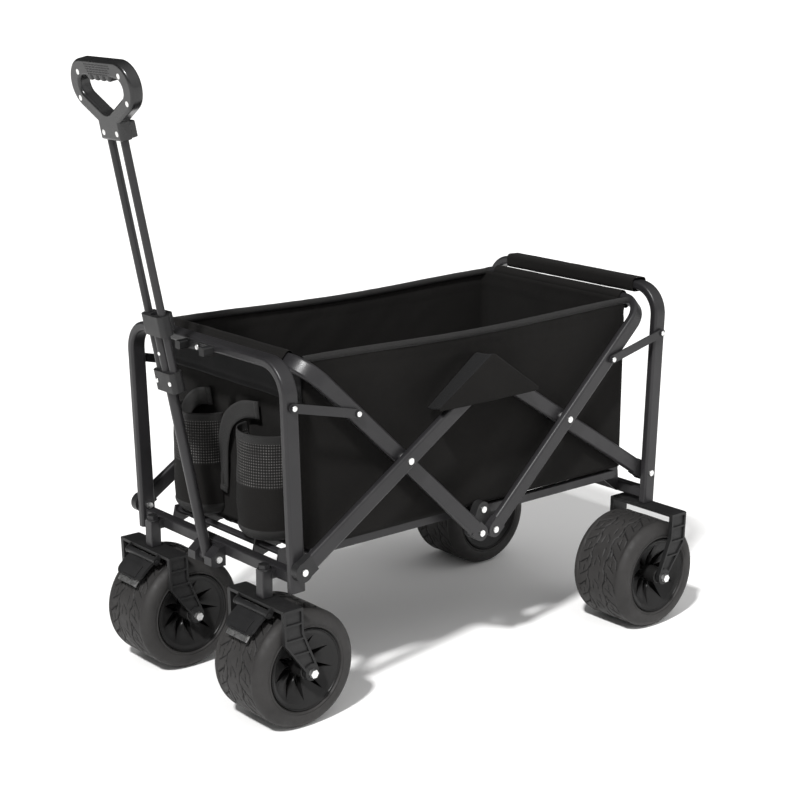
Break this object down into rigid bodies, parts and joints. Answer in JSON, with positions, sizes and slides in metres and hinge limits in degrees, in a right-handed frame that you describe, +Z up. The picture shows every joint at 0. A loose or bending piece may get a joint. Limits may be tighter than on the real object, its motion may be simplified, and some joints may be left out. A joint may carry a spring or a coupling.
{
  "type": "folding camp wagon",
  "caption": "Folding four-wheeled camp wagon: scissor side frame, fabric basket, swivel front wheels with foot brakes and a telescoping pull handle.",
  "frame": {"origin": "on the floor, under the centre of the open wagon's bounding box", "axes": "+X towards the handle end, +Y the wagon's left side, +Z up"},
  "size_m": [1.076, 0.622, 1.0632],
  "materials": {
    "powder_coat": "semi-gloss black powder coat",
    "zinc": "bright zinc plate",
    "tyre_rubber": "matte moulded rubber",
    "hub_plastic": "moulded nylon",
    "fork_plastic": "moulded nylon, lightly textured",
    "grip_plastic": "glossy moulded plastic",
    "joint_plastic": "satin moulded plastic",
    "canvas": "woven polyester"
  },
  "bodies": {
    "rear_frame": {"rear_frame_tube": "powder_coat", "rear_cross_tube": "powder_coat", "rear_forks": "fork_plastic", "rear_axle_bolts": "zinc", "rear_pivot_bolts": "zinc", "bag_rear_panel": "canvas", "bag_floor": "canvas", "bag_sides": "canvas"},
    "rear_wheel_left": {"rear_tyre_left": "tyre_rubber", "rear_hub_left": "hub_plastic"},
    "rear_wheel_right": {"rear_tyre_right": "tyre_rubber", "rear_hub_right": "hub_plastic"},
    "rear_arms": {"rear_arm_left": "powder_coat", "rear_arm_right": "powder_coat", "rear_arm_boots": "joint_plastic"},
    "rear_hoop": {"rear_hoop": "powder_coat", "rear_hoop_rivets": "zinc"},
    "rear_links": {"rear_links": "powder_coat"},
    "rear_rack": {"rear_rack": "powder_coat"},
    "center": {"center_brackets": "joint_plastic", "center_rivets": "zinc"},
    "front_hoop": {"front_hoop": "powder_coat"},
    "front_arms": {"front_arm_left": "powder_coat", "front_arm_right": "powder_coat", "front_arm_boots": "joint_plastic", "front_arm_rivets": "zinc"},
    "front_links": {"front_links": "powder_coat"},
    "front_rack": {"front_rack": "powder_coat"},
    "front_frame": {"front_frame_tube": "powder_coat", "front_cross_tube": "powder_coat", "caster_housings": "powder_coat", "handle_yoke": "powder_coat", "handle_pin": "zinc", "handle_clip": "joint_plastic", "front_pivot_bolts": "zinc", "bag_front_panel": "canvas", "front_pocket_left": "canvas", "front_pocket_right": "canvas"},
    "handle_tube": {"handle_tube": "powder_coat", "handle_collar": "joint_plastic"},
    "handle_latch": {"handle_latch": "joint_plastic"},
    "handle_grip": {"handle_side_tubes": "powder_coat", "handle_slider": "joint_plastic", "grip_front": "grip_plastic", "grip_back": "grip_plastic", "grip_screws": "zinc"},
    "caster_left": {"caster_fork_left": "fork_plastic", "caster_nut_left": "powder_coat", "front_axle_bolt_left": "zinc"},
    "brake_pedal_left": {"brake_pedal_left": "joint_plastic", "brake_shoe_left": "zinc"},
    "front_wheel_left": {"front_tyre_left": "tyre_rubber", "front_hub_left": "hub_plastic"},
    "caster_right": {"caster_fork_right": "fork_plastic", "caster_nut_right": "powder_coat", "front_axle_bolt_right": "zinc"},
    "brake_pedal_right": {"brake_pedal_right": "joint_plastic", "brake_shoe_right": "zinc"},
    "front_wheel_right": {"front_tyre_right": "tyre_rubber", "front_hub_right": "hub_plastic"}
  },
  "joints": [
    {"name": "fold", "type": "hinge", "parent": "rear_frame", "child": "rear_arms", "pos_m": [-0.482, 0, 0.273], "axis": [0, -1, 0], "range_deg": [0, 40.8], "deforming": ["bag_floor", "bag_sides"]},
    {"name": "rear_crossing", "type": "hinge", "parent": "rear_arms", "child": "rear_hoop", "pos_m": [-0.26345, 0, 0.41384], "axis": [0, -1, 0], "range_deg": [-76.43, 0.5]},
    {"name": "rear_bracket", "type": "hinge", "parent": "rear_hoop", "child": "center", "pos_m": [-0.0875, 0, 0.248], "axis": [0, -1, 0], "range_deg": [-0.5, 35.63]},
    {"name": "front_bracket", "type": "hinge", "parent": "center", "child": "front_hoop", "pos_m": [-0.0555, 0, 0.248], "axis": [0, -1, 0], "range_deg": [-0.5, 35.63]},
    {"name": "front_crossing", "type": "hinge", "parent": "front_hoop", "child": "front_arms", "pos_m": [0.12045, 0, 0.41384], "axis": [0, -1, 0], "range_deg": [-76.43, 0.5]},
    {"name": "front_leg_pivot", "type": "hinge", "parent": "front_arms", "child": "front_frame", "pos_m": [0.339, 0, 0.273], "axis": [0, -1, 0], "range_deg": [-0.5, 41.3]},
    {"name": "rear_link_pivot", "type": "hinge", "parent": "rear_frame", "child": "rear_links", "pos_m": [-0.49128, 0, 0.53864], "axis": [0, -1, 0], "range_deg": [-0.5, 79]},
    {"name": "front_link_pivot", "type": "hinge", "parent": "front_frame", "child": "front_links", "pos_m": [0.34828, 0, 0.53864], "axis": [0, -1, 0], "range_deg": [-79, 0.5]},
    {"name": "rear_rack_pivot", "type": "hinge", "parent": "rear_frame", "child": "rear_rack", "pos_m": [-0.416, 0, 0.275], "axis": [0, -1, 0], "range_deg": [-0.5, 78.46]},
    {"name": "front_rack_pivot", "type": "hinge", "parent": "front_frame", "child": "front_rack", "pos_m": [0.273, 0, 0.275], "axis": [0, -1, 0], "range_deg": [-78.46, 0.5]},
    {"name": "rear_axle_left", "type": "hinge", "parent": "rear_frame", "child": "rear_wheel_left", "pos_m": [-0.438, 0.227, 0.1], "axis": [0, 1, 0], "continuous": true},
    {"name": "caster_swivel_left", "type": "hinge", "parent": "front_frame", "child": "caster_left", "pos_m": [0.361, 0.162, 0.24], "axis": [0, 0, 1], "continuous": true},
    {"name": "front_axle_left", "type": "hinge", "parent": "caster_left", "child": "front_wheel_left", "pos_m": [0.325, 0.162, 0.1], "axis": [0, 1, 0], "continuous": true},
    {"name": "brake_left", "type": "hinge", "parent": "caster_left", "child": "brake_pedal_left", "pos_m": [0.3845, 0.162, 0.2035], "axis": [0, 1, 0], "range_deg": [0, 7]},
    {"name": "rear_axle_right", "type": "hinge", "parent": "rear_frame", "child": "rear_wheel_right", "pos_m": [-0.438, -0.227, 0.1], "axis": [0, 1, 0], "continuous": true},
    {"name": "caster_swivel_right", "type": "hinge", "parent": "front_frame", "child": "caster_right", "pos_m": [0.361, -0.162, 0.24], "axis": [0, 0, 1], "continuous": true},
    {"name": "front_axle_right", "type": "hinge", "parent": "caster_right", "child": "front_wheel_right", "pos_m": [0.325, -0.162, 0.1], "axis": [0, 1, 0], "continuous": true},
    {"name": "brake_right", "type": "hinge", "parent": "caster_right", "child": "brake_pedal_right", "pos_m": [0.3845, -0.162, 0.2035], "axis": [0, 1, 0], "range_deg": [0, 7]},
    {"name": "handle_pivot", "type": "hinge", "parent": "front_frame", "child": "handle_tube", "pos_m": [0.36, 0, 0.243], "axis": [0, 1, 0], "range_deg": [-8.2, 70]},
    {"name": "handle_slide", "type": "slide", "parent": "handle_tube", "child": "handle_grip", "axis": [0.2011, 0, 0.9796], "range_m": [-0.26, 0]},
    {"name": "latch_press", "type": "slide", "parent": "handle_tube", "child": "handle_latch", "axis": [0.9796, 0, -0.2011], "range_m": [0, 0.003], "stiffness_N_per_m": 600, "springref_m": -0.002}
  ],
  "couplings": [
    {"joint": "rear_crossing", "follows": "fold", "ratio": -1.861},
    {"joint": "rear_bracket", "follows": "fold", "ratio": 0.861},
    {"joint": "front_bracket", "follows": "fold", "ratio": 0.861},
    {"joint": "front_crossing", "follows": "fold", "ratio": -1.861},
    {"joint": "front_leg_pivot", "follows": "fold", "ratio": 1},
    {"joint": "rear_link_pivot", "follows": "fold", "ratio": 1.9239},
    {"joint": "front_link_pivot", "follows": "fold", "ratio": -1.9239},
    {"joint": "rear_rack_pivot", "follows": "fold", "ratio": 1.9107},
    {"joint": "front_rack_pivot", "follows": "fold", "ratio": -1.9107}
  ]
}
